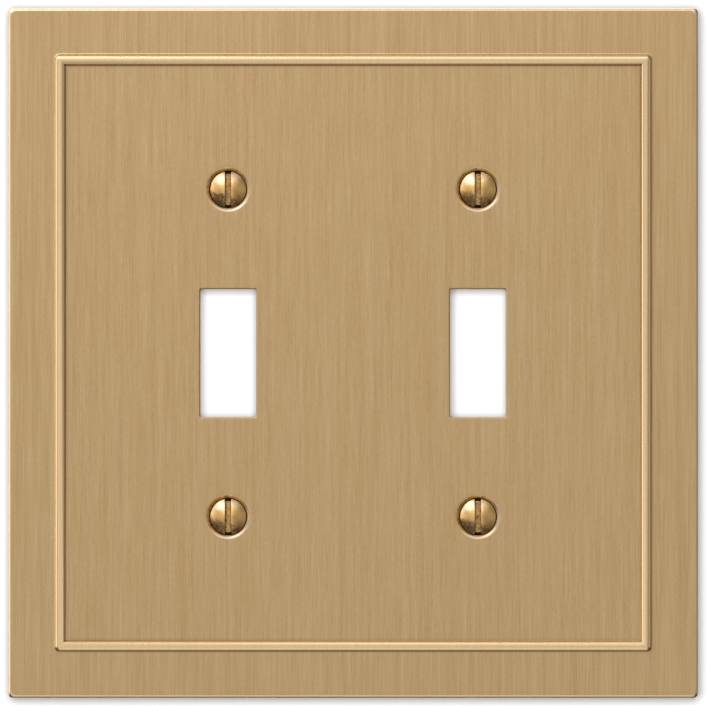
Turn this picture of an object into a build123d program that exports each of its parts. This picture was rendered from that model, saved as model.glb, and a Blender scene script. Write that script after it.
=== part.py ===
from build123d import *
from math import cos, pi, radians, tan
import os

# Two-gang toggle-switch wall plate: one square metal casting and its four slotted oval-head screws.
#
# Millimetres. +X is right and +Z is up as the plate hangs on its wall. The origin is the middle of the plate on
# the wall's surface, and the front faces -Y. A "height" below is a distance from the wall into the room.

# Standard spacings of toggle switches and of the screws that hold their plates
GANG_SPACING = 46.0375  # 1 13/16 in between neighbouring switches
SCREW_SPACING = 60.325  # 2 3/8 in between one switch's two plate screws
OPENING_WIDTH = 10.3
OPENING_LENGTH = 23.6
OPENING_CORNER = 0.3
OPENING_ROUND = 0.25  # rounding of the front edge

# Outline and heights of the casting
PLATE_SIZE = 127.0  # 5 in square
CORNER_RADIUS = 0.8
EDGE_ROUND = 0.45
BACK_EDGE_ROUND = 0.3
BORDER_HEIGHT = 6.0
PANEL_HEIGHT = 5.7
SKIN = 1.6
RIM_WIDTH = 2.0
RIM_CORNER = 1.5

# Raised bead between the border and the sunken panel
RIDGE = 54.0  # from the plate's middle to the crest
BEAD_HALF_WIDTH = 0.9
BEAD_RISE = 0.65  # above the border
BEAD_ROOT = 0.8  # how far the bead's solid reaches into the casting, below the border
OUTER_FOOT_ROUND = 0.4
INNER_FOOT_ROUND = 0.29

# Features cast on the back of the panel
BOSS_RADIUS = 5.0
BOSS_HEIGHT = 2.7  # height of the boss's back face
BOSS_FOOT_ROUND = 0.5
COLLAR_WIDTH = 1.3
COLLAR_DEPTH = 0.6
EJECTOR_PAD_RADIUS = 2.5
EJECTOR_PAD_DEPTH = 0.2
EJECTOR_PAD_PLACES = [(0, 46), (0, 16), (46, 46), (46, 0)]  # mirrored into the other quarters

# 6-32 x 1/2 in slotted oval-head screw
THREAD_RADIUS = 1.7525
SCREW_LENGTH = 12.7  # from the edge of the head to the tip
TIP_CHAMFER = 0.5
NECK_RADIUS = 1.5
NECK_END = 2.45  # height where the thread starts, just behind the boss
HEAD_RADIUS = 3.3
HEAD_BAND = 0.17
HEAD_SINK = 0.3  # the head's edge below the panel
CROWN_RISE = 1.1
SLOT_WIDTH = 1.15
SLOT_DEPTH = 1.75  # from the top of the crown
CONE_HALF_ANGLE = 41.0
SEAT_GAP = 0.05  # between the head's cone and its seat
SEAT_LIP_ROUND = 1.0
HOLE_RADIUS = 2.0

PANEL_ROOF = PANEL_HEIGHT - SKIN
BORDER_ROOF = BORDER_HEIGHT - SKIN
HEAD_EDGE = PANEL_HEIGHT - HEAD_SINK
CROWN_TOP = HEAD_EDGE + CROWN_RISE
TIP_HEIGHT = HEAD_EDGE - SCREW_LENGTH
CONE_SLOPE = tan(radians(CONE_HALF_ANGLE))

WALL = Plane.XZ  # drawn on the wall: x is +X, y is +Z, and the normal points into the room
TINY = 1e-4
SIDES = {"left": -1, "right": 1}
ENDS = {"lower": -1, "upper": 1}


def slab(outline, low, high):
    """An outline drawn on the wall, made solid between two heights."""
    return extrude(WALL.offset(low) * outline, high - low)


def turned(points):
    """A solid of revolution about the Y axis from its (radius, height) corners."""
    corners = [(radius, -height) for radius, height in points]
    return revolve(make_face(Polyline(*corners, close=True)), Axis.Y)


def rounded_square(half_size, corner):
    return RectangleRounded(2 * half_size, 2 * half_size, corner)


def gang_places():
    return [(side * GANG_SPACING / 2, 0) for side in SIDES.values()]


def screw_places():
    return {
        f"{end}_{side}": (x * GANG_SPACING / 2, z * SCREW_SPACING / 2)
        for end, z in ENDS.items()
        for side, x in SIDES.items()
    }


def ejector_pad_places():
    return {(x * sx, z * sz) for x, z in EJECTOR_PAD_PLACES for sx in (-1, 1) for sz in (-1, 1)}


def edges_at(part, height):
    """The edges that lie wholly at one height."""
    return part.edges().filter_by_position(Axis.Y, -height - TINY, -height + TINY)


def rings(part, height, over_radius):
    """The full circles at one height that are larger than one radius."""
    circles = edges_at(part, height).filter_by(GeomType.CIRCLE)
    return circles.filter_by(lambda edge: edge.length > 2 * pi * over_radius)


def bead_section():
    """A half-ellipse on a straight root, in the YZ plane with the crest over Z = 0."""
    root = Pos(0, BORDER_HEIGHT - BEAD_ROOT)
    leg = root * Rectangle(2 * BEAD_HALF_WIDTH, BEAD_ROOT, align=(Align.CENTER, Align.MIN))
    crest = Pos(0, BORDER_HEIGHT) * Ellipse(BEAD_HALF_WIDTH, BEAD_RISE)
    return Plane((0, 0, 0), x_dir=(0, 0, 1), z_dir=(1, 0, 0)) * (leg + crest)


def bead():
    """Four straight bars with mitred inner corners and quarter-round outer corners."""
    bar = Pos(-RIDGE, 0, RIDGE) * extrude(bead_section(), 2 * RIDGE, dir=(1, 0, 0))
    outer_half = bead_section() & Plane.YZ * Rectangle(40, 4, align=(Align.CENTER, Align.MIN))
    corner = Pos(RIDGE, 0, RIDGE) * revolve(outer_half, Axis.Y, 90)
    ring = Part()
    for quarter in range(4):
        ring += Rot(0, 90 * quarter, 0) * bar
        ring += Rot(0, 90 * quarter, 0) * corner
    return ring


def shell():
    """The hollow casting: border, sunken panel, bead and rim, without its holes."""
    half = PLATE_SIZE / 2
    body = slab(rounded_square(half, CORNER_RADIUS), 0, BORDER_HEIGHT)
    body = fillet(edges_at(body, BORDER_HEIGHT), EDGE_ROUND)
    body = fillet(edges_at(body, 0), BACK_EDGE_ROUND)
    body -= slab(rounded_square(half - RIM_WIDTH, RIM_CORNER), 0, PANEL_ROOF)
    gutter = slab(rounded_square(half - RIM_WIDTH, RIM_CORNER), PANEL_ROOF, BORDER_ROOF)
    gutter -= slab(rounded_square(RIDGE - SKIN, RIM_CORNER), PANEL_ROOF, BORDER_ROOF)
    body -= gutter
    body -= slab(Rectangle(2 * RIDGE, 2 * RIDGE), PANEL_HEIGHT, BORDER_HEIGHT)
    return body + bead()


def toggle_opening():
    outline = RectangleRounded(OPENING_WIDTH, OPENING_LENGTH, OPENING_CORNER)
    return slab(outline, 0, BORDER_HEIGHT)


def opening_collar():
    outline = RectangleRounded(
        OPENING_WIDTH + 2 * COLLAR_WIDTH, OPENING_LENGTH + 2 * COLLAR_WIDTH, OPENING_CORNER + COLLAR_WIDTH
    )
    return slab(outline, PANEL_ROOF - COLLAR_DEPTH, PANEL_ROOF + SKIN / 2)


def screw_seat():
    """The countersunk clearance hole under one screw head."""
    gap = SEAT_GAP / cos(radians(CONE_HALF_ANGLE))
    cone_foot = HEAD_EDGE - HEAD_BAND - (HEAD_RADIUS + gap - HOLE_RADIUS) / CONE_SLOPE
    mouth_radius = HOLE_RADIUS + (BORDER_HEIGHT - cone_foot) * CONE_SLOPE
    return turned(
        [(0, 0), (HOLE_RADIUS, 0), (HOLE_RADIUS, cone_foot), (mouth_radius, BORDER_HEIGHT), (0, BORDER_HEIGHT)]
    )


def wall_plate():
    plate = shell()
    for x, z in gang_places():
        plate += Pos(x, 0, z) * opening_collar()
    for x, z in screw_places().values():
        plate += Pos(x, 0, z) * slab(Circle(BOSS_RADIUS), BOSS_HEIGHT, PANEL_ROOF + SKIN / 2)
    for x, z in ejector_pad_places():
        pad = slab(Circle(EJECTOR_PAD_RADIUS), PANEL_ROOF - EJECTOR_PAD_DEPTH, PANEL_ROOF + SKIN / 2)
        plate += Pos(x, 0, z) * pad
    for x, z in gang_places():
        plate -= Pos(x, 0, z) * toggle_opening()
    for x, z in screw_places().values():
        plate -= Pos(x, 0, z) * screw_seat()
    return rounded_details(plate)


def rounded_details(plate):
    """Round the bosses' feet, the seats' lips, the openings' front edges and both feet of the bead."""
    boss_feet = rings(plate, PANEL_ROOF, BOSS_RADIUS - 0.01)
    plate = fillet(boss_feet, BOSS_FOOT_ROUND)
    plate = fillet(rings(plate, PANEL_HEIGHT, HEAD_RADIUS), SEAT_LIP_ROUND)
    opening_edges = edges_at(plate, PANEL_HEIGHT).filter_by(lambda edge: edge.length <= OPENING_LENGTH)
    plate = fillet(opening_edges, OPENING_ROUND)
    plate = fillet(edges_at(plate, BORDER_HEIGHT).filter_by(beside_bead), OUTER_FOOT_ROUND)
    return fillet(edges_at(plate, PANEL_HEIGHT).filter_by(beside_bead), INNER_FOOT_ROUND)


def beside_bead(edge):
    centre = edge.center()
    reach = max(abs(centre.X), abs(centre.Z))
    return BEAD_HALF_WIDTH / 2 < abs(reach - RIDGE) < 2 * BEAD_HALF_WIDTH


def screw():
    """One oval-head screw on the Y axis with its slot along Z; a plain cylinder stands in for its thread."""
    cone_rim = HEAD_EDGE - HEAD_BAND
    cone_foot = cone_rim - (HEAD_RADIUS - NECK_RADIUS) / CONE_SLOPE
    crown_centre = CROWN_TOP - (HEAD_RADIUS**2 + CROWN_RISE**2) / (2 * CROWN_RISE)
    shank = turned(
        [
            (0, TIP_HEIGHT),
            (THREAD_RADIUS - TIP_CHAMFER, TIP_HEIGHT),
            (THREAD_RADIUS, TIP_HEIGHT + TIP_CHAMFER),
            (THREAD_RADIUS, NECK_END),
            (NECK_RADIUS, NECK_END),
            (NECK_RADIUS, cone_foot),
            (HEAD_RADIUS, cone_rim),
            (HEAD_RADIUS, HEAD_EDGE),
            (0, HEAD_EDGE),
        ]
    )
    ball = Pos(0, -crown_centre, 0) * Sphere(CROWN_TOP - crown_centre)
    crown = ball & slab(Circle(HEAD_RADIUS), HEAD_EDGE, CROWN_TOP)
    slot = slab(Rectangle(SLOT_WIDTH, 2 * HEAD_RADIUS + 1), CROWN_TOP - SLOT_DEPTH, CROWN_TOP)
    return shank + crown - slot


def nodes():
    parts = {"wall_plate": wall_plate()}
    for name, (x, z) in screw_places().items():
        parts[f"{name}_screw"] = Pos(x, 0, z) * screw()
    return parts


os.makedirs("parts", exist_ok=True)
for node, part in nodes().items():
    export_step(part, f"parts/{node}.step")
    print(node, round(part.volume, 1), "mm3")
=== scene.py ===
"""The looks of a two-gang brass wall plate and its four oval-head screws, built round the CAD frame."""

import math

import bmesh
import bpy
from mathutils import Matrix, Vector
from mathutils.geometry import tessellate_polygon


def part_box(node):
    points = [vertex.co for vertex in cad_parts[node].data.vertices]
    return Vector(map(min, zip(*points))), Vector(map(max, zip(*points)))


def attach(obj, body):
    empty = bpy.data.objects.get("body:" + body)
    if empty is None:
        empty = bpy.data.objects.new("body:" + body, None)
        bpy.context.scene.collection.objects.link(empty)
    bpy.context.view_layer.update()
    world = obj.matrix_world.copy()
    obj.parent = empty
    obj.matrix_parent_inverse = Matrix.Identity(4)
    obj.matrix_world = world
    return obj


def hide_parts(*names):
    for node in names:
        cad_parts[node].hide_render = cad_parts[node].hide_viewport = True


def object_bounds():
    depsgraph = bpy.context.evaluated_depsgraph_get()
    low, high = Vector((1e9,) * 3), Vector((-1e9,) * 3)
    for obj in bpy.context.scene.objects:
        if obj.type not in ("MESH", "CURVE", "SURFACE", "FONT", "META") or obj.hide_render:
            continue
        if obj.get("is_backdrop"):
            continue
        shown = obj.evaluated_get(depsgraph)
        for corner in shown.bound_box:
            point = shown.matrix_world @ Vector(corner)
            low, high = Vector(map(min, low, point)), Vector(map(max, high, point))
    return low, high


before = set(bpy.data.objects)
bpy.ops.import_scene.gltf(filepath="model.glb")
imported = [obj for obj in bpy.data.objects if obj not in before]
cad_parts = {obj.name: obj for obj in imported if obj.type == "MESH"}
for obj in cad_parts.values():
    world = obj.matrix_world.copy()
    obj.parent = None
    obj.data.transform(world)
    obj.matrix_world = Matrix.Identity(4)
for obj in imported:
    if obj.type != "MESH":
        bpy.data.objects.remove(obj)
cad_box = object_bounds()
screw_nodes = sorted(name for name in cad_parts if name.endswith("_screw"))

MM = 0.001

# Sizes in millimetres. A height is a distance from the wall into the room, along -Y.
BORDER = 6.0
PANEL = 5.7
SKIN = 1.6
CORNER_AT_SIDE = 0.7  # radius of the outline's corners, which widens over the front edge
CORNER_AT_FACE = 1.1
EDGE_ROUND = 0.45
BACK_ROUND = 0.3
RIM_WIDTH = 2.0
RIM_CORNER = 1.5
CAVITY_ROUND = 0.5
RIDGE = 54.0
BEAD_HALF = 0.9
BEAD_RISE = 0.65
BEAD_FULLNESS = 2.5  # 2 is an ellipse; more is squarer
OUTER_FOOT = 0.4
INNER_FOOT = 0.29
GUTTER_BREAK = 0.1  # of the step between the panel's back and the gutter round it
HOLD = 0.5  # width of the flat strip beside each rounding, which keeps the flats shaded flat

OPENING = (10.3, 23.6)
OPENING_CORNER = 0.3
OPENING_ROUND = 0.25
COLLAR_WIDTH = 1.3
COLLAR_DEPTH = 0.6
BACK_BREAK = 0.15  # of the small edges on the back
PAD_RADIUS = 2.5
PAD_DEPTH = 0.2
PAD_BREAK = 0.1
PAD_PLACES = [(0, 46), (0, 16), (46, 46), (46, 0)]  # mirrored into the other quarters

BOSS_RADIUS = 5.0
BOSS_HEIGHT = 2.7
HOLE_RADIUS = 2.0
LIP_ROUND = 1.0
CONE_ANGLE = math.radians(41)
SEAT_GAP = 0.05

HEAD_RADIUS = 3.3
HEAD_BAND = 0.17
HEAD_SINK = 0.3
CROWN_RISE = 1.1
SLOT_HALF = 0.575
SLOT_DEPTH = 1.75
SLOT_ROUND = 0.09
NECK_RADIUS = 1.5
THREAD_RADIUS = 1.7525
PITCH = 25.4 / 32
THREAD_DEPTH = 0.6134 * PITCH  # of the standard 60 degree form
TIP_CHAMFER = 0.5
SCREW_LENGTH = 12.7

PANEL_BACK = PANEL - SKIN
BORDER_BACK = BORDER - SKIN
HEAD_EDGE = PANEL - HEAD_SINK
CROWN_TOP = HEAD_EDGE + CROWN_RISE
CONE_SLOPE = math.tan(CONE_ANGLE)

SLOT_FLOOR = CROWN_TOP - SLOT_DEPTH
HEAD_RIM = HEAD_EDGE - HEAD_BAND
FLOOR_RADIUS = HEAD_RADIUS - (HEAD_RIM - SLOT_FLOOR) * CONE_SLOPE
NECK_HEIGHT = HEAD_RIM - (HEAD_RADIUS - NECK_RADIUS) / CONE_SLOPE
TIP_HEIGHT = HEAD_EDGE - SCREW_LENGTH
DOME_RADIUS = (HEAD_RADIUS**2 + CROWN_RISE**2) / (2 * CROWN_RISE)

WELD = 1e-4  # points closer than this are one
SHARP_ANGLE = math.radians(32)
CORNER_STEPS = 10
BEAD_STEPS = 20
CIRCLE_STEPS = 72
BACK_STEPS = 5  # of each rounding on the back
FRONT_STEPS = 8  # of the front edge, the bead's outer foot and the seats' lips
FINE_STEPS = 6  # of the bead's inner foot and the openings' lips
SLOT_STEPS = 3
LAND_STEPS = 13
DOME_STEPS = 9
TOUCH_STEPS = 40  # halvings in the search for the point where the bead meets its foot
THREAD_ROWS = [0.0, 0.125, 0.479, 0.646]  # crest, crest's end, root, root's end, as shares of the pitch

# Shares of dark crease, from 0 on clean metal to 1 in the deepest creases: painted shade in creases and
# gaps, partly crease dirt
OUTER_FOOT_DARK = 0.15
INNER_FOOT_DARK = 0.4
PANEL_EDGE_DARK = 0.1
OPENING_LIP_DARK = 0.4
SEAT_LIP_DARK = 0.3
SEAT_SHADES = [(0.11, 0.9), (0.08, 1.0), (0.0, 1.0)]  # painted shade of the gap under the head's rim: (height above the head's cone, share)
SLOT_SHADES = [(-1, 0.95), (-0.5, 0.74), (0, 0.7), (0.5, 0.72), (1, 0.85)]  # painted shade on the slot's floor, deepest at its left wall: (place across, share)
HEAD_EDGE_DARK = 0.5
THREAD_CREST_DARK = 0.1
THREAD_ROOT_DARK = 0.7

# Painted light and shade on the screws, as shares of crease: a painted pale highlight on top, golden, then
# painted brown shade below
GOLDEN = 0.4  # below this share the brass is paler, above it browner
BROWN_SHADE_SHARE = 0.9
GOLDEN_EDGE = (0.5, 0.2, 1.8)  # Z at the screw's axis, slope, and width of the blend upwards
BROWN_SHADE_EDGE = (-2.0, -0.3, 1.6)
# painted shade of the gap round the head's rim
RIM_START = 0.97  # as a share of the head's radius
RIM_SHADE = 0.6

# Painted light and shade on the seats
SEAT_SIDE_SHADE = 0.67  # how deep the painted shade is at their upper left
SEAT_FADE = 0.7  # how fast that fades towards their lower right
SEAT_LIT_THINNING = 4  # the power that thins the painted crease shade at their lit lower right
SEAT_SHADE_RINGS = 3  # the outermost rings, over which the painted side shade sets in
SEAT_BRUSHED_RINGS = 2  # the outermost rings, brushed with the panel
SEAT_CAST_RINGS = 4  # the deepest rings, left as cast

# The studio, in metres
STAGE_HALF = 1.5
WALL_PLACE = 0.0002
FLOOR_PLACE = -0.1
LENS = 500  # in millimetres, as is the sensor
SENSOR = 36
VIEW_WIDTH = 0.13025  # what the picture's width spans at the plate's face
CAMERA_ASIDE = 0.000083  # to the right of the plate's middle
WORLD_GLOWS = [  # degrees to the right of the front, degrees up, tightness, strength
    (0, 0, 8, 0.17),
    (0, 25, 16, 1.38),
    (0, 110, 8, 2.4),
    (0, -22, 16, 0.7),
    (0, -50, 16, 0.88),
    (0, -80, 8, 0.2),
    (-25, 0, 16, 0.6),
    (-48, 0, 24, 0.3),
    (-75, 0, 16, 1.6),
    (-110, 0, 8, 1.4),
    (50, 0, 16, 0.5),
    (80, 0, 8, 0.3),
    (-90, 45, 8, 2.2),
    (25, 42, 16, 1.05),
    (180, 10, 6, 0.6),
]
KEY_PLACE = (-0.215, -0.375, 0.345)
KEY_SIDE = 0.34
KEY_POWER = 0.78
WALL_KEY_PLACE = (-0.045, -1.0, 0.045)
WALL_KEY_SIDE = 0.43
WALL_KEY_POWER = 27.5
WALL_WHITE = 0.35  # darker than the floor's, because the wall has a strong light of its own
FLOOR_WHITE = 0.9

# Colours. Where there are two, the grain of the metal runs between them.
WHITE = (1, 1, 1, 1)
# painted shade, partly dirt, in the deepest creases and gaps
CREASE_SHADE_AND_DIRT = (0.045, 0.026, 0.01, 1)  # the deepest creases
BRUSHED_COLOURS = ((0.565, 0.35, 0.154, 1), (0.724, 0.524, 0.278, 1))
BURNISHED_COLOURS = ((0.76, 0.52, 0.24, 1), (0.82, 0.565, 0.268, 1))
CAST_COLOURS = ((0.40, 0.26, 0.125, 1), (0.56, 0.375, 0.185, 1))
# the screws' golden middle and their painted brown shade
GOLD_COLOURS = ((0.75, 0.435, 0.14, 1), (0.86, 0.55, 0.22, 1))
BROWN_COLOURS = ((0.14, 0.08, 0.027, 1), (0.34, 0.22, 0.11, 1))
# painted highlight colours: the screws' tops and the seats' lower right
SCREW_PALE = (0.87, 0.65, 0.43, 1)
SEAT_PALE = (0.6, 0.475, 0.325, 1)

# Finishes of the plate, by material index
BRUSHED, BURNISHED, SEAT, CAST = range(4)


class Surface:
    """A mesh in the making, from points (x, z, height) in millimetres with a share of dark crease each."""

    def __init__(self):
        self.points = []
        self.dark = []
        self.faces = []
        self.finishes = []

    def point(self, x, z, height, dark):
        self.points.append((x * MM, -height * MM, z * MM))
        self.dark.append(dark)
        return len(self.points) - 1

    def ring(self, corners, height, dark=0.0):
        """A closed ring, kept as one list of point numbers for each corner."""
        return [[self.point(x, z, height, dark) for x, z in corner] for corner in corners]

    def face(self, corners, finish):
        if len(set(corners)) > 2:
            self.faces.append(corners)
            self.finishes.append(finish)

    def band(self, a, b, finish):
        """Faces between two rings, whose corners have the same number of points or only one."""
        for k in range(len(a)):
            near, far = a[k], b[k]
            steps = max(len(near), len(far)) - 1
            for i in range(steps):
                self.face(
                    [
                        near[min(i, len(near) - 1)],
                        near[min(i + 1, len(near) - 1)],
                        far[min(i + 1, len(far) - 1)],
                        far[min(i, len(far) - 1)],
                    ],
                    finish,
                )
            nxt = (k + 1) % len(a)
            self.face([near[-1], a[nxt][0], b[nxt][0], far[-1]], finish)

    def loft(self, rings, finish):
        for a, b in zip(rings, rings[1:]):
            self.band(a, b, finish)

    def fill(self, outer, holes, finish):
        """A flat face between one outer ring and the rings of its holes."""
        rings = [[i for corner in ring for i in corner] for ring in [outer] + holes]
        numbers = [i for ring in rings for i in ring]
        outlines = [[Vector(self.points[i]) for i in ring] for ring in rings]
        for triangle in tessellate_polygon(outlines):
            self.face([numbers[i] for i in triangle], finish)

    def piece(self, name, materials, sharp_angle):
        """The finished object, welded, with its normals outward and its flats shaded flat."""
        mesh = bpy.data.meshes.new(name)
        mesh.from_pydata(self.points, [], [list(dict.fromkeys(face)) for face in self.faces])
        dark = mesh.attributes.new("dark", "FLOAT", "POINT")
        dark.data.foreach_set("value", self.dark)
        for material in materials:
            mesh.materials.append(material)
        mesh.polygons.foreach_set("material_index", self.finishes)
        bm = bmesh.new()
        bm.from_mesh(mesh)
        bmesh.ops.remove_doubles(bm, verts=bm.verts, dist=WELD * MM)
        bmesh.ops.delete(bm, geom=[v for v in bm.verts if not v.link_faces], context="VERTS")
        bmesh.ops.recalc_face_normals(bm, faces=bm.faces)
        bm.to_mesh(mesh)
        bm.free()
        mesh.shade_smooth()
        mesh.set_sharp_from_angle(angle=sharp_angle)
        made = bpy.data.objects.new(name, mesh)
        pieces.objects.link(made)
        weighted = made.modifiers.new("flat_normals", "WEIGHTED_NORMAL")
        weighted.keep_sharp = True
        return made


def arc(centre, radius, start, end, steps):
    """Points on a circle in a section, from one angle to another, in degrees."""
    angles = [math.radians(start + (end - start) * i / steps) for i in range(steps + 1)]
    return [(centre[0] + radius * math.cos(a), centre[1] + radius * math.sin(a)) for a in angles]


def rounded_corners(half_x, half_z, radius, x=0.0):
    """The four corners of a rounded rectangle, each an arc, or one point where the radius is 0."""
    corners = []
    for quarter, (sx, sz) in enumerate([(1, 1), (-1, 1), (-1, -1), (1, -1)]):
        centre = (x + sx * (half_x - radius), sz * (half_z - radius))
        if radius > 0:
            corners.append(arc(centre, radius, 90 * quarter, 90 * quarter + 90, CORNER_STEPS))
        else:
            corners.append([centre])
    return corners


def circle(radius, x, z):
    return [arc((x, z), radius, 0, 360, CIRCLE_STEPS)[:-1]]


def places(pairs):
    """Each place mirrored into all four quarters, once."""
    return sorted({(sx * x, sz * z) for x, z in pairs for sx in (-1, 1) for sz in (-1, 1)})


def node_centre(node):
    low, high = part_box(node)
    return (low.x + high.x) / 2 / MM, (low.z + high.z) / 2 / MM


def bead_curve(angle):
    """A point of the bead's section and its unit normal, as (aside, up, normal aside, normal up)."""
    c, s = math.cos(angle), math.sin(angle)
    turn = 2 - 2 / BEAD_FULLNESS
    nx = math.copysign(abs(c) ** turn, c) / BEAD_HALF
    ny = abs(s) ** turn / BEAD_RISE
    length = math.hypot(nx, ny)
    x = BEAD_HALF * math.copysign(abs(c) ** (2 / BEAD_FULLNESS), c)
    return x, BEAD_RISE * abs(s) ** (2 / BEAD_FULLNESS), nx / length, ny / length


def foot_touch():
    """The angle on the bead's curve where the outer foot's rounding meets it."""
    low, high = 0.0, math.pi / 2
    for _ in range(TOUCH_STEPS):
        middle = (low + high) / 2
        _, y, _, ny = bead_curve(middle)
        low, high = (middle, high) if y + OUTER_FOOT * ny < OUTER_FOOT else (low, middle)
    return low


def bead_section():
    """The bead's outer foot, crest and inner foot, as (distance from the middle, height, share of painted
    crease shade).
    """
    touch = foot_touch()
    x, _, nx, ny = bead_curve(touch)
    centre = (RIDGE + x + OUTER_FOOT * nx, BORDER + OUTER_FOOT)
    outer = arc(centre, OUTER_FOOT, 270, 270 - math.degrees(math.atan2(nx, ny)), FRONT_STEPS)
    outer_foot = []
    for i, (x, y) in enumerate(outer):
        # painted crease shade on the bead's outer foot
        outer_foot.append((x, y, OUTER_FOOT_DARK * smooth_step(2 * i / FRONT_STEPS - 0.5)))
    crest = []
    for i in range(1, BEAD_STEPS + 1):
        x, y, _, _ = bead_curve(touch + (math.pi - touch) * i / BEAD_STEPS)
        crest.append((RIDGE + x, BORDER + y, 0.0))
    inner = arc((RIDGE - BEAD_HALF - INNER_FOOT, PANEL + INNER_FOOT), INNER_FOOT, 0, -90, FINE_STEPS)
    # painted shade on the inner foot and at the panel's edge
    inner_foot = [(x, y, INNER_FOOT_DARK) for x, y in inner[:-1]] + [(*inner[-1], PANEL_EDGE_DARK)]
    return outer_foot, crest, inner_foot


def plate_ring(surface, half, height, corner, dark=0.0):
    return surface.ring(rounded_corners(half, half, corner), height, dark)


def plate_outside(surface, half):
    """The casting from the gutter in its hollow, round the rim and the sides, to the flat border."""
    inner = half - RIM_WIDTH
    gutter = RIDGE - SKIN
    hollow = [(gutter - GUTTER_BREAK, PANEL_BACK)]
    hollow += [(gutter, PANEL_BACK + GUTTER_BREAK / 2), (gutter, BORDER_BACK - GUTTER_BREAK / 2)]
    hollow += [(gutter + GUTTER_BREAK, BORDER_BACK), (gutter + GUTTER_BREAK + HOLD, BORDER_BACK)]
    hollow += [(inner - CAVITY_ROUND - HOLD, BORDER_BACK)]
    hollow += arc((inner - CAVITY_ROUND, BORDER_BACK - CAVITY_ROUND), CAVITY_ROUND, 90, 0, BACK_STEPS)
    hollow += [(inner, BACK_BREAK + HOLD), (inner, BACK_BREAK), (inner + BACK_BREAK, 0.0)]
    rings = [plate_ring(surface, x, y, RIM_CORNER) for x, y in hollow]
    side = arc((half - BACK_ROUND, BACK_ROUND), BACK_ROUND, -90, 0, BACK_STEPS)
    side += [(half, BACK_ROUND + HOLD), (half, BORDER - EDGE_ROUND - HOLD)]
    rings += [plate_ring(surface, x, y, CORNER_AT_SIDE) for x, y in side]
    front = arc((half - EDGE_ROUND, BORDER - EDGE_ROUND), EDGE_ROUND, 0, 90, FRONT_STEPS)
    edge = []
    for x, y in front:
        share = (half - x) / EDGE_ROUND
        corner = CORNER_AT_SIDE + (CORNER_AT_FACE - CORNER_AT_SIDE) * share
        edge.append(plate_ring(surface, x, y, corner))
    surface.loft(rings + edge[:1], CAST)
    surface.loft(edge, BURNISHED)
    return rings[0], edge[-1]


def plate_front(surface, half, border_edge):
    """The flat border and the bead, inwards to the panel's edge."""
    sections = bead_section()
    bead = []
    for section in sections:
        bead.append([plate_ring(surface, x, y, max(x - RIDGE, 0.0), dark) for x, y, dark in section])
    outer_foot, crest, inner_foot = bead
    start, end = sections[0][0][0], sections[-1][-1][0]
    strips = (half - EDGE_ROUND - HOLD, start + HOLD)
    border = [plate_ring(surface, x, BORDER, CORNER_AT_FACE) for x in strips]
    panel_edge = plate_ring(surface, end - HOLD, PANEL, 0.0)
    surface.loft([border_edge] + border + outer_foot, BRUSHED)
    surface.loft([outer_foot[-1]] + crest, BURNISHED)
    surface.loft([crest[-1]] + inner_foot + [panel_edge], BRUSHED)
    return panel_edge


def toggle_opening(surface, x):
    """One opening with its collar. Returns its rings on the panel's face and on its back."""
    half_x, half_z = OPENING[0] / 2, OPENING[1] / 2

    def ring(out, height, dark=0.0):
        corners = rounded_corners(half_x + out, half_z + out, OPENING_CORNER + out, x)
        return surface.ring(corners, height, dark)

    face = ring(OPENING_ROUND + HOLD, PANEL)
    lip = arc((OPENING_ROUND, PANEL - OPENING_ROUND), OPENING_ROUND, 90, 180, FINE_STEPS)
    # painted shade, deepening over the lip into the opening
    edge = [ring(out, height, OPENING_LIP_DARK * i / FINE_STEPS) for i, (out, height) in enumerate(lip)]
    collar = PANEL_BACK - COLLAR_DEPTH
    inside = [ring(0.0, PANEL - OPENING_ROUND - HOLD), ring(0.0, collar + BACK_BREAK)]
    inside += [ring(BACK_BREAK, collar), ring(COLLAR_WIDTH - BACK_BREAK, collar)]
    inside += [ring(COLLAR_WIDTH, collar + BACK_BREAK), ring(COLLAR_WIDTH, PANEL_BACK - BACK_BREAK)]
    inside += [ring(COLLAR_WIDTH + BACK_BREAK, PANEL_BACK), ring(COLLAR_WIDTH + HOLD, PANEL_BACK)]
    surface.loft([face] + edge, BRUSHED)
    surface.loft([edge[-1]] + inside, CAST)
    return face, inside[-1]


def seat_section():
    """(radius, height, share of painted shade) of a screw's seat, from the panel's face down to the
    clearance hole.
    """
    cone_edge = HEAD_RADIUS + SEAT_GAP / math.cos(CONE_ANGLE)
    turn = math.pi / 2 - CONE_ANGLE
    mouth = cone_edge + (PANEL - HEAD_RIM) * CONE_SLOPE + LIP_ROUND * math.tan(turn / 2)
    lip = arc((mouth, PANEL - LIP_ROUND), LIP_ROUND, 90, 90 + math.degrees(turn), FRONT_STEPS)
    section = []
    for i, (radius, height) in enumerate(lip):
        # painted shade over the lip's last quarter
        section.append((radius, height, SEAT_LIP_DARK * max(4 * i / FRONT_STEPS - 3, 0.0)))
    # painted shade on the cone round the head's rim, black down to the hole
    for above, dark in SEAT_SHADES:
        section.append((cone_edge + above * CONE_SLOPE, HEAD_RIM + above, dark))
    cone_foot = HEAD_RIM - (cone_edge - HOLE_RADIUS) / CONE_SLOPE
    return section + [(HOLE_RADIUS, cone_foot, 1.0)]


def seat_ring(surface, place, radius, height, dark, side_shade):
    """One ring of a seat: painted shade at its upper left, fading to a painted highlight at its lower
    right.
    """
    ring = []
    for x, z in circle(radius, *place)[0]:
        # painted shade at the upper left, painted highlight at the lower right
        darkening = smooth_step(0.5 + SEAT_FADE * (z - place[1] - x + place[0]) / radius)
        crease = dark ** (SEAT_LIT_THINNING + (1 - SEAT_LIT_THINNING) * darkening)
        ring.append(surface.point(x, z, height, max(crease, side_shade * darkening)))
    return [ring]


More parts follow.
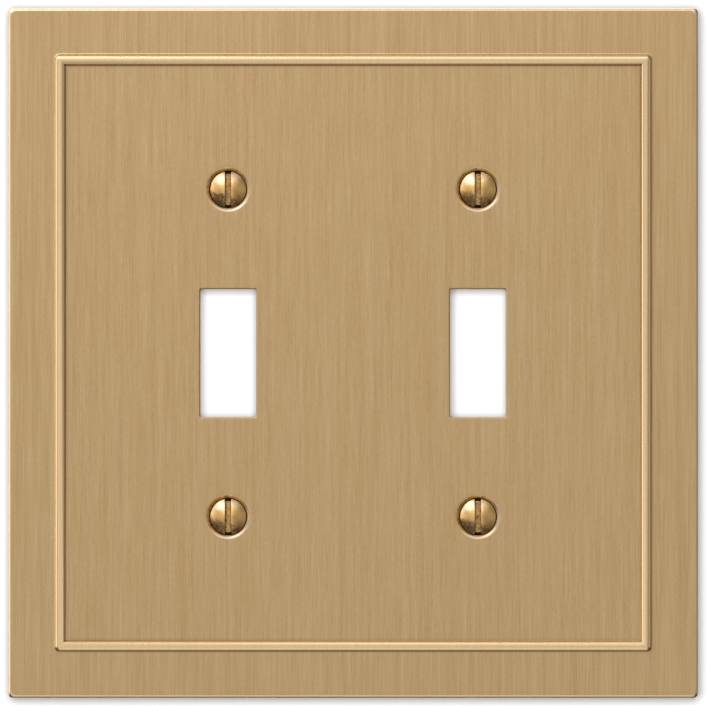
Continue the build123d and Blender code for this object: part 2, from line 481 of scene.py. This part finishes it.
def screw_seat(surface, x, z):
    """One countersunk hole with its boss. Returns its rings on the panel's face and on its back."""
    section = seat_section()
    face = surface.ring(circle(section[0][0] + HOLD, x, z), PANEL)
    seat = []
    for i, (radius, height, dark) in enumerate(section):
        # painted side shade, set in over the outer rings
        side_shade = SEAT_SIDE_SHADE * min(i / SEAT_SHADE_RINGS, 1)
        seat.append(seat_ring(surface, (x, z), radius, height, dark, side_shade))
    depths = len(seat) - SEAT_CAST_RINGS
    back = [(HOLE_RADIUS, BOSS_HEIGHT + BACK_BREAK), (HOLE_RADIUS + BACK_BREAK, BOSS_HEIGHT)]
    back += [(BOSS_RADIUS - BACK_BREAK, BOSS_HEIGHT), (BOSS_RADIUS, BOSS_HEIGHT + BACK_BREAK)]
    back += arc((BOSS_RADIUS + CAVITY_ROUND, PANEL_BACK - CAVITY_ROUND), CAVITY_ROUND, 180, 90, BACK_STEPS)
    back += [(BOSS_RADIUS + CAVITY_ROUND + HOLD, PANEL_BACK)]
    boss = [surface.ring(circle(r, x, z), h) for r, h in back]
    surface.loft([face] + seat[:SEAT_BRUSHED_RINGS], BRUSHED)
    surface.loft(seat[SEAT_BRUSHED_RINGS - 1 : depths + 1], SEAT)
    surface.loft(seat[depths:] + boss, CAST)
    return face, boss[-1]


def ejector_pad(surface, x, z):
    """A low round pad that an ejector pin left on the back. Returns its ring on the panel's back."""
    section = [(PAD_RADIUS + HOLD, PANEL_BACK), (PAD_RADIUS + PAD_BREAK, PANEL_BACK)]
    section += [(PAD_RADIUS, PANEL_BACK - PAD_BREAK), (PAD_RADIUS - PAD_BREAK, PANEL_BACK - PAD_DEPTH)]
    section += [(PAD_RADIUS - HOLD, PANEL_BACK - PAD_DEPTH)]
    rings = [surface.ring(circle(r, x, z), h) for r, h in section]
    surface.loft(rings, CAST)
    surface.fill(rings[-1], [], CAST)
    return rings[0]


def make_plate(materials):
    surface = Surface()
    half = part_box("wall_plate")[1].x / MM
    back_edge, border_edge = plate_outside(surface, half)
    panel_edge = plate_front(surface, half, border_edge)
    screws = [node_centre(node) for node in screw_nodes]
    holes = [toggle_opening(surface, x) for x in sorted({round(x, 4) for x, _ in screws})]
    holes += [screw_seat(surface, x, z) for x, z in screws]
    pads = [ejector_pad(surface, x, z) for x, z in places(PAD_PLACES)]
    surface.fill(panel_edge, [face for face, _ in holes], BRUSHED)
    surface.fill(back_edge, [back for _, back in holes] + pads, CAST)
    plate = surface.piece("plate_casting", materials, SHARP_ANGLE)
    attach(plate, "wall_plate")
    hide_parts("wall_plate")


def dome_height(x, z):
    return CROWN_TOP - DOME_RADIUS + math.sqrt(DOME_RADIUS**2 - x * x - z * z)


def chord(radius, x):
    return math.sqrt(max(radius**2 - x * x, 0.0))


def smooth_step(value):
    share = min(max(value, 0.0), 1.0)
    return share * share * (3 - 2 * share)


def below(x, z, edge):
    """1 under a sloping edge across the head, blending to 0 above it."""
    height, slope, width = edge
    return 1 - smooth_step((z - height - slope * x) / width)


def painted_land_shading(x, z):
    """How dark a point of the head is painted: a painted pale highlight at the top, then golden, then
    painted brown shade at the foot, and painted shade at the rim.
    """
    golden = below(x, z, GOLDEN_EDGE)
    brown_shade = below(x, z, BROWN_SHADE_EDGE)
    rim = smooth_step((math.hypot(x, z) / HEAD_RADIUS - RIM_START) / (1 - RIM_START))
    return max(GOLDEN * golden + (BROWN_SHADE_SHARE - GOLDEN) * brown_shade, RIM_SHADE * rim)


def land_slices():
    """(x, drop) of each slice of the dome beside the slot: its rounded edge, then out to the rim."""
    slices = []
    for i in range(SLOT_STEPS + 1):
        a = math.pi / 2 * i / SLOT_STEPS
        slices.append((SLOT_HALF + SLOT_ROUND * (1 - math.cos(a)), SLOT_ROUND * (1 - math.sin(a))))
    first = math.asin(slices[-1][0] / HEAD_RADIUS)
    for i in range(1, LAND_STEPS + 1):
        angle = first + (math.pi / 2 - first) * i / LAND_STEPS
        slices.append((HEAD_RADIUS * math.sin(angle), 0.0))
    return slices


def head_columns():
    """(x, drop, end) of each line down the head's side, clockwise from the slot's upper end."""
    quarter = [(0.0, 0.0), (SLOT_HALF / 2, 0.0)] + land_slices()
    right = [(x, drop, 1) for x, drop in quarter] + [(x, drop, -1) for x, drop in quarter[-2::-1]]
    return right + [(-x, drop, end) for x, drop, end in right[-2:0:-1]]


class Screw(Surface):
    """One oval-head screw on its own axis, with its slot along Z."""

    def __init__(self, x, z):
        super().__init__()
        self.axis = (x, z)

    def at(self, x, z, height, dark):
        return self.point(self.axis[0] + x, self.axis[1] + z, height, dark)

    def sheet(self, rows):
        for a, b in zip(rows, rows[1:]):
            for i in range(len(a) - 1):
                self.face([a[i], a[i + 1], b[i + 1], b[i]], 0)

    def slice(self, x, reach, height, dark):
        """Points across the head at one x, closer together towards the rim."""
        row = []
        for j in range(-DOME_STEPS, DOME_STEPS + 1):
            z = reach * math.sin(math.pi / 2 * j / DOME_STEPS)
            row.append(self.at(x, z, height(x, z), dark(x, z)))
        return row

    def head_top(self):
        """Both lands of the dome, and the slot between them."""
        floor = []
        # painted shade on the slot's floor
        for across, dark in SLOT_SHADES:
            x = across * SLOT_HALF
            floor.append(self.slice(x, chord(FLOOR_RADIUS, x), lambda *_: SLOT_FLOOR, lambda *_: dark))
        self.sheet(floor)
        for side, foot in ((1, floor[-1]), (-1, floor[0])):
            land = []
            for x, drop in land_slices():
                reach = chord(HEAD_RADIUS, x)
                # painted light and shade over the lands
                land.append(self.slice(side * x, reach, lambda *at: dome_height(*at) - drop, painted_land_shading))
            self.sheet(land)
            self.sheet([land[0], foot])
            for end in (0, -1):
                sign = 1 if end else -1
                # painted shade where the slot's ends meet the rim
                step = self.at(side * SLOT_HALF, sign * chord(HEAD_RADIUS, SLOT_HALF), HEAD_RIM, 1.0)
                self.face([land[0][end], step, foot[end]], 0)

    def head_side(self, columns):
        """The band and the cone down to the neck, open where the slot runs out."""
        lines = []
        for x, drop, end in columns:
            z = end * chord(HEAD_RADIUS, x)
            # painted shade on the head's band and cone, black under the rim
            line = [self.at(x, z, HEAD_EDGE - drop, HEAD_EDGE_DARK), self.at(x, z, HEAD_RIM, 1.0)]
            straight = abs(x) < SLOT_HALF + SLOT_ROUND + WELD
            share = 1.0 if straight else FLOOR_RADIUS / HEAD_RADIUS
            line.append(self.at(x * share, end * chord(FLOOR_RADIUS, x * share), SLOT_FLOOR, 1.0))
            share = NECK_RADIUS / HEAD_RADIUS
            line.append(self.at(x * share, z * share, NECK_HEIGHT, 1.0))
            lines.append(line)
        for i, a in enumerate(lines):
            b = lines[(i + 1) % len(lines)]
            outer = max(abs(columns[i][0]), abs(columns[(i + 1) % len(lines)][0]))
            first = 2 if outer < SLOT_HALF + WELD else 0
            for k in range(first, 3):
                self.face([a[k], b[k], b[k + 1], a[k + 1]], 0)

    def thread(self, columns):
        """The helical thread from the neck to the flat tip."""
        length = NECK_HEIGHT - TIP_HEIGHT
        per_turn = len(THREAD_ROWS)
        rows = range(-per_turn, (int(length / PITCH) + 3) * per_turn + 1)
        lines = []
        for x, _, end in columns:
            angle = math.atan2(x, end * chord(HEAD_RADIUS, x)) % (2 * math.pi)
            line = []
            for row in rows:
                share = THREAD_ROWS[row % per_turn]
                depth = PITCH * (angle / (2 * math.pi) + row // per_turn + share)
                depth = min(max(depth, 0.0), length)
                radius = thread_radius(depth, share, length)
                # painted shade in the thread's roots
                dark = THREAD_ROOT_DARK if share > THREAD_ROWS[1] else THREAD_CREST_DARK
                aside, up = radius * math.sin(angle), radius * math.cos(angle)
                line.append(self.at(aside, up, NECK_HEIGHT - depth, dark))
            lines.append(line)
        for a, b in zip(lines, lines[1:] + [lines[0][per_turn:]]):
            for k in range(min(len(a), len(b)) - 1):
                self.face([a[k], b[k], b[k + 1], a[k + 1]], 0)
        self.face([line[-1] for line in lines], 0)


def thread_radius(depth, share, length):
    """The thread's radius at a depth under the neck, on a crest's row or a root's."""
    full = THREAD_RADIUS - (THREAD_DEPTH if share > THREAD_ROWS[1] else 0.0)
    radius = NECK_RADIUS + (full - NECK_RADIUS) * smooth_step(depth / PITCH)
    return min(radius, THREAD_RADIUS - TIP_CHAMFER + length - depth)


def make_screw(node, material):
    screw = Screw(*node_centre(node))
    columns = head_columns()
    screw.head_top()
    screw.head_side(columns)
    screw.thread(columns)
    made = screw.piece(node + "_body", [material], SHARP_ANGLE)
    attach(made, node)
    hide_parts(node)


class Nodes:
    """Short calls that add nodes to a tree."""

    def __init__(self, tree):
        self.tree = tree

    def put(self, socket, value):
        """Links an output to the socket, or sets the socket's own value."""
        if isinstance(value, bpy.types.NodeSocket):
            self.tree.links.new(value, socket)
        else:
            socket.default_value = value

    def add(self, kind, inputs, **settings):
        node = self.tree.nodes.new("ShaderNode" + kind)
        for name, value in settings.items():
            setattr(node, name, value)
        for name, value in inputs.items():
            self.put(node.inputs[name], value)
        return node

    def math(self, operation, a, b):
        return self.add("Math", {0: a, 1: b}, operation=operation).outputs[0]

    def spread(self, value, low, high, to_low=0.0, to_high=1.0):
        """A value's range stretched from low..high to to_low..to_high, and clamped."""
        limits = {"From Min": low, "From Max": high, "To Min": to_low, "To Max": to_high}
        return self.add("MapRange", {"Value": value, **limits}).outputs["Result"]

    def mix(self, share, first, second):
        return self.add("Mix", {0: share, 6: first, 7: second}, data_type="RGBA").outputs[2]


class Finish(Nodes):
    """A metal finish in the making."""

    def __init__(self, name, values):
        self.material = bpy.data.materials.new(name)
        self.material.use_nodes = True
        super().__init__(self.material.node_tree)
        self.shader = self.tree.nodes["Principled BSDF"]
        for socket, value in {"Metallic": 1.0, **values}.items():
            self.put(self.shader.inputs[socket], value)
        self.place = self.tree.nodes.new("ShaderNodeTexCoord").outputs["Object"]
        self.dark = self.add("Attribute", {}, attribute_name="dark").outputs["Fac"]

    def noise(self, across, along, detail, roughness=0.5):
        """Noise whose grains lie along Z. The sizes are grains to the metre."""
        stretch = self.add("Mapping", {"Vector": self.place, "Scale": (across, across, along)}).outputs[0]
        values = {"Vector": stretch, "Scale": 1.0, "Detail": detail, "Roughness": roughness}
        return self.add("TexNoise", values).outputs["Fac"]

    def use(self, **sockets):
        for socket, value in sockets.items():
            self.put(self.shader.inputs[socket.replace("_", " ")], value)

    def bump(self, height, distance):
        return self.add("Bump", {"Height": height, "Distance": distance}).outputs[0]


def brushed_brass():
    """The flats, the bead's feet and the rims of the openings and seats: fine upright brush lines."""
    finish = Finish("brushed_brass_face", {"Anisotropic": 0.55})
    fine = finish.noise(5600, 90, 3.0, 0.65)
    wide = finish.noise(1100, 24, 2.0)
    hair = finish.noise(9000, 1400, 2.0)
    lines = finish.math("ADD", finish.math("MULTIPLY", fine, 0.5), finish.math("MULTIPLY", wide, 0.2))
    lines = finish.math("ADD", lines, finish.math("MULTIPLY", hair, 0.3))
    colour = finish.mix(finish.spread(lines, 0.35, 0.65), *BRUSHED_COLOURS)
    finish.use(
        # painted crease shade, partly dirt
        Base_Color=finish.mix(finish.dark, colour, CREASE_SHADE_AND_DIRT),
        Roughness=finish.spread(hair, 0.3, 0.7, 0.36, 0.42),
        Normal=finish.bump(finish.math("ADD", fine, hair), 2.0e-6),
        Tangent=finish.add("Tangent", {}, direction_type="RADIAL", axis="Z").outputs[0],
    )
    return finish.material


def burnished_brass():
    """The bead's crest and the front edge: rubbed smoother and lighter than the flats, and lacquered."""
    finish = Finish("burnished_brass_edge", {"Coat Weight": 1.0, "Coat Roughness": 0.12, "Coat IOR": 1.9})
    fine = finish.noise(2600, 160, 2.0)
    colour = finish.mix(finish.spread(fine, 0.3, 0.7), *BURNISHED_COLOURS)
    finish.use(
        # painted crease shade, partly dirt
        Base_Color=finish.mix(finish.dark, colour, CREASE_SHADE_AND_DIRT),
        Roughness=finish.spread(finish.dark, 0.0, 1.0, 0.26, 0.5),
        Normal=finish.bump(fine, 1.0e-6),
    )
    return finish.material


def cast_brass():
    """The sides, the back, the openings' walls and the seats' depths: dull, with a fine cast grain."""
    finish = Finish("cast_brass_back", {})
    blotch = finish.noise(120, 120, 4.0)
    grain = finish.noise(4200, 4200, 2.0)
    share = finish.spread(finish.math("ADD", blotch, finish.math("MULTIPLY", grain, 0.3)), 0.4, 0.9)
    colour = finish.mix(share, *CAST_COLOURS)
    finish.use(
        # painted shade, partly dirt, in the seats' depths and creases
        Base_Color=finish.mix(finish.dark, colour, CREASE_SHADE_AND_DIRT),
        Roughness=finish.spread(grain, 0.3, 0.7, 0.46, 0.6),
        Normal=finish.bump(grain, 1.2e-5),
    )
    return finish.material


def antique_brass(name, pale):
    """The screws and the lips of their seats: brass painted pale where lit, golden in between and brown
    where shaded, with a random mottle.
    """
    finish = Finish(name, {})
    mottle = finish.noise(1500, 1500, 3.0, 0.6)
    speck = finish.noise(5200, 5200, 2.0)
    grain = finish.spread(speck, 0.35, 0.65)
    # the dark attribute carries painted light and shade; the mottle is the metal's own random tone
    darkening = finish.math("ADD", finish.dark, finish.math("SUBTRACT", mottle, 0.5))
    gold = finish.mix(grain, *GOLD_COLOURS)
    brown = finish.mix(grain, *BROWN_COLOURS)
    pale_to_gold = finish.mix(finish.spread(darkening, 0.0, 0.3), pale, gold)
    shaded_colour = finish.mix(finish.spread(darkening, 0.48, 0.92), pale_to_gold, brown)
    finish.use(
        # painted shade, partly dirt, in the creases and gaps
        Base_Color=finish.mix(finish.spread(finish.dark, 0.9, 1.0), shaded_colour, CREASE_SHADE_AND_DIRT),
        Roughness=finish.spread(darkening, 0.2, 0.9, 0.32, 0.46),
        Normal=finish.bump(finish.math("ADD", mottle, finish.math("MULTIPLY", speck, 0.5)), 6.0e-6),
    )
    return finish.material


def one_sided_white(name, level):
    """White paint that shows only from its front."""
    material = bpy.data.materials.new(name)
    material.use_nodes = True
    nodes = Nodes(material.node_tree)
    nodes.tree.nodes.clear()
    behind = nodes.add("NewGeometry", {}).outputs["Backfacing"]
    paint = nodes.add("BsdfDiffuse", {"Color": (level, level, level, 1)}).outputs[0]
    clear = nodes.add("BsdfTransparent", {}).outputs[0]
    shown = nodes.add("MixShader", {0: behind, 1: paint, 2: clear}).outputs[0]
    nodes.add("OutputMaterial", {"Surface": shown})
    return material


def new_collection(name):
    made = bpy.data.collections.new(name)
    bpy.context.scene.collection.children.link(made)
    return made


def make_stage():
    """A white wall behind the plate and a white floor under it, seen by the camera alone."""
    stage = new_collection("stage")
    corners = [(x * STAGE_HALF, z * STAGE_HALF) for x, z in ((-1, -1), (1, -1), (1, 1), (-1, 1))]
    wall = [(x, WALL_PLACE, z) for x, z in corners]
    floor = [(x, y, FLOOR_PLACE) for x, y in corners]
    for name, points, level in (("studio_wall", wall, WALL_WHITE), ("studio_floor", floor, FLOOR_WHITE)):
        mesh = bpy.data.meshes.new(name)
        mesh.from_pydata(points, [], [(0, 1, 2, 3)])
        mesh.materials.append(one_sided_white(name + "_paint", level))
        sheet = bpy.data.objects.new(name, mesh)
        stage.objects.link(sheet)
        sheet.visible_diffuse = False
        sheet.visible_glossy = False
        sheet.visible_shadow = False
        sheet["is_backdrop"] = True
    return stage


def make_world():
    """Soft white glows round the plate, in a room that the camera sees as plain white."""
    world = bpy.data.worlds.new("studio")
    world.use_nodes = True
    bpy.context.scene.world = world
    nodes = Nodes(world.node_tree)
    nodes.tree.nodes.clear()
    direction = nodes.add("TexCoord", {}).outputs["Generated"]
    level = 0.0
    for aside, up, tightness, strength in WORLD_GLOWS:
        toward = nodes.add("VectorMath", {0: direction, 1: compass(aside, up)}, operation="DOT_PRODUCT")
        facing = nodes.math("MAXIMUM", toward.outputs["Value"], 0.0)
        glow = nodes.math("MULTIPLY", nodes.math("POWER", facing, tightness), strength)
        level = nodes.math("ADD", level, glow)
    room = nodes.add("Background", {"Color": WHITE, "Strength": level}).outputs[0]
    white = nodes.add("Background", {"Color": WHITE, "Strength": 1.0}).outputs[0]
    seen = nodes.add("LightPath", {}).outputs["Is Camera Ray"]
    both = nodes.add("MixShader", {0: seen, 1: room, 2: white}).outputs[0]
    nodes.add("OutputWorld", {"Surface": both})


def compass(aside, up):
    """The unit vector that points some degrees to the right of the plate's front, and some degrees up."""
    aside, up = math.radians(aside), math.radians(up)
    return (math.sin(aside) * math.cos(up), -math.cos(aside) * math.cos(up), math.sin(up))


def softbox(name, place, side, power, only):
    """A soft square light at a place in metres, aimed at the plate's middle, for one collection alone."""
    light = bpy.data.lights.new(name, "AREA")
    light.shape = "SQUARE"
    light.size = side
    light.energy = power
    lamp = bpy.data.objects.new(name, light)
    lamp.location = place
    lamp.rotation_euler = (-Vector(place)).to_track_quat("-Z", "Y").to_euler()
    lamp.visible_camera = False
    lamp.light_linking.receiver_collection = only
    bpy.context.scene.collection.objects.link(lamp)


def make_camera():
    camera = bpy.data.objects.new("camera", bpy.data.cameras.new("camera"))
    camera.data.lens = LENS
    camera.data.sensor_width = SENSOR
    distance = VIEW_WIDTH * LENS / SENSOR
    camera.location = (CAMERA_ASIDE, -BORDER * MM - distance, 0.0)
    camera.rotation_euler = (math.pi / 2, 0.0, 0.0)
    bpy.context.scene.collection.objects.link(camera)
    bpy.context.scene.camera = camera


def write_sizes():
    """Gathers the corners of the CAD model's box and of the visual model's box."""
    corners = [list(corner) for corner in (*cad_box, *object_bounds())]


pieces = new_collection("pieces")
seat_brass = antique_brass("antique_brass_seat", SEAT_PALE)
make_plate([brushed_brass(), burnished_brass(), seat_brass, cast_brass()])
screw_brass = antique_brass("antique_brass_screw", SCREW_PALE)
for screw_node in screw_nodes:
    make_screw(screw_node, screw_brass)

stage_pieces = make_stage()
make_world()
softbox("key", KEY_PLACE, KEY_SIDE, KEY_POWER, pieces)
softbox("wall_key", WALL_KEY_PLACE, WALL_KEY_SIDE, WALL_KEY_POWER, stage_pieces)
make_camera()
bpy.context.scene.view_settings.view_transform = "Standard"

write_sizes()
